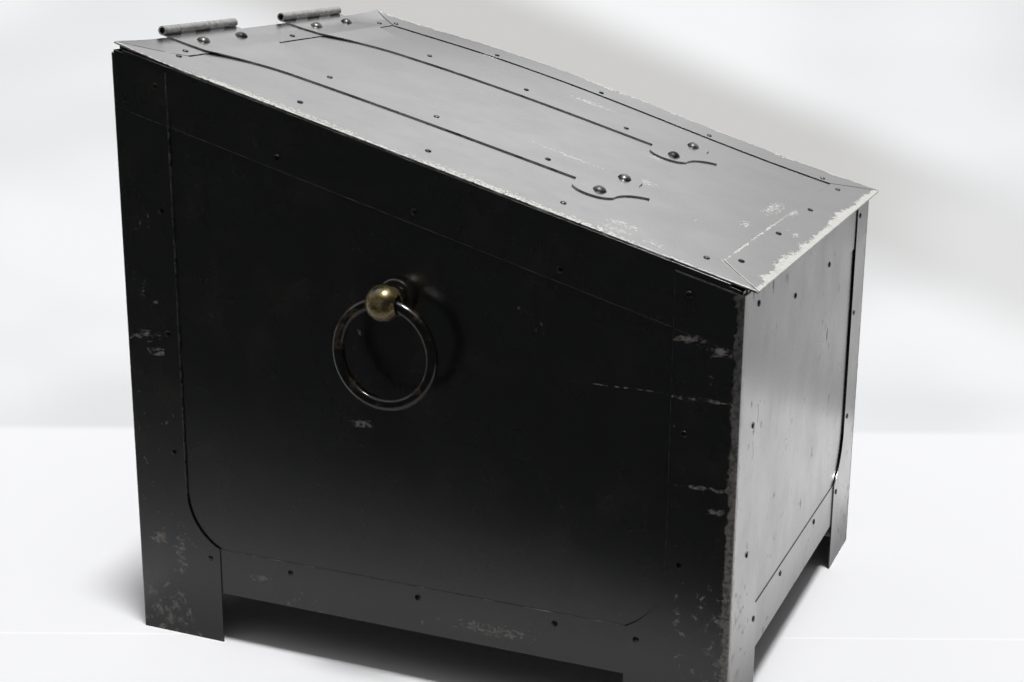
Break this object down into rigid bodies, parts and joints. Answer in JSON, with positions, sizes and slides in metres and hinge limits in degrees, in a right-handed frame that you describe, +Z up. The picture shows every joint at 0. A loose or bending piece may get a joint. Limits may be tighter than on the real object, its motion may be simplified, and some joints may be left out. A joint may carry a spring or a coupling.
{
  "type": "slant-lidded metal storage box",
  "caption": "Slant-topped chest of riveted black-enamelled sheet iron on sheet legs, with a lid on long strap hinges and a ring handle on each side.",
  "frame": {"origin": "on the floor under the middle of the whole part's outline", "axes": "+Z up, -Y towards the low front, +X to the right seen from the front"},
  "size_m": [0.437, 0.453, 0.4299],
  "materials": {
    "sheet_enamel": "gloss",
    "inside_enamel": "satin",
    "lid_enamel": "gloss",
    "strap_enamel": "gloss",
    "small_rivet_enamel": "gloss",
    "large_rivet_enamel": "gloss",
    "pin_steel": "satin",
    "boss_brass": "satin",
    "ring_lacquer": "gloss"
  },
  "bodies": {
    "box": {"floor_pan": "inside_enamel", "left_panel": "sheet_enamel", "right_panel": "sheet_enamel", "front_panel": "sheet_enamel", "back_panel": "sheet_enamel", "left_top_rail": "sheet_enamel", "right_top_rail": "sheet_enamel", "front_top_rail": "sheet_enamel", "back_top_rail": "sheet_enamel", "left_bottom_rail": "sheet_enamel", "right_bottom_rail": "sheet_enamel", "front_bottom_rail": "sheet_enamel", "back_bottom_rail": "sheet_enamel", "front_left_post": "sheet_enamel", "front_right_post": "sheet_enamel", "back_left_post": "sheet_enamel", "back_right_post": "sheet_enamel", "left_hinge_leaf": "strap_enamel", "right_hinge_leaf": "strap_enamel", "left_hinge_pin": "pin_steel", "right_hinge_pin": "pin_steel", "post_rivets": "small_rivet_enamel", "rail_rivets": "small_rivet_enamel", "hinge_leaf_rivets": "large_rivet_enamel", "left_handle_boss": "boss_brass", "right_handle_boss": "boss_brass", "left_handle_washer": "pin_steel", "right_handle_washer": "pin_steel"},
    "lid": {"lid_sheet": "lid_enamel", "lid_left_binding": "lid_enamel", "lid_right_binding": "lid_enamel", "lid_front_binding": "lid_enamel", "lid_back_binding": "lid_enamel", "left_hinge_strap": "strap_enamel", "right_hinge_strap": "strap_enamel", "lid_binding_rivets": "small_rivet_enamel", "strap_large_rivets": "large_rivet_enamel", "strap_small_rivets": "small_rivet_enamel"},
    "left_ring": {"left_handle_ring": "ring_lacquer"},
    "right_ring": {"right_handle_ring": "ring_lacquer"}
  },
  "joints": [
    {"name": "lid_hinge", "type": "hinge", "parent": "box", "child": "lid", "pos_m": [0, 0.22328, 0.42668], "axis": [-1, 0, 0], "range_deg": [0, 255]},
    {"name": "left_ring_swing", "type": "hinge", "parent": "box", "child": "left_ring", "pos_m": [-0.2065, 0.00848, 0.2708], "axis": [0, 1, 0], "range_deg": [-13, 192]},
    {"name": "right_ring_swing", "type": "hinge", "parent": "box", "child": "right_ring", "pos_m": [0.2065, 0.00848, 0.2708], "axis": [0, -1, 0], "range_deg": [-13, 192]}
  ]
}
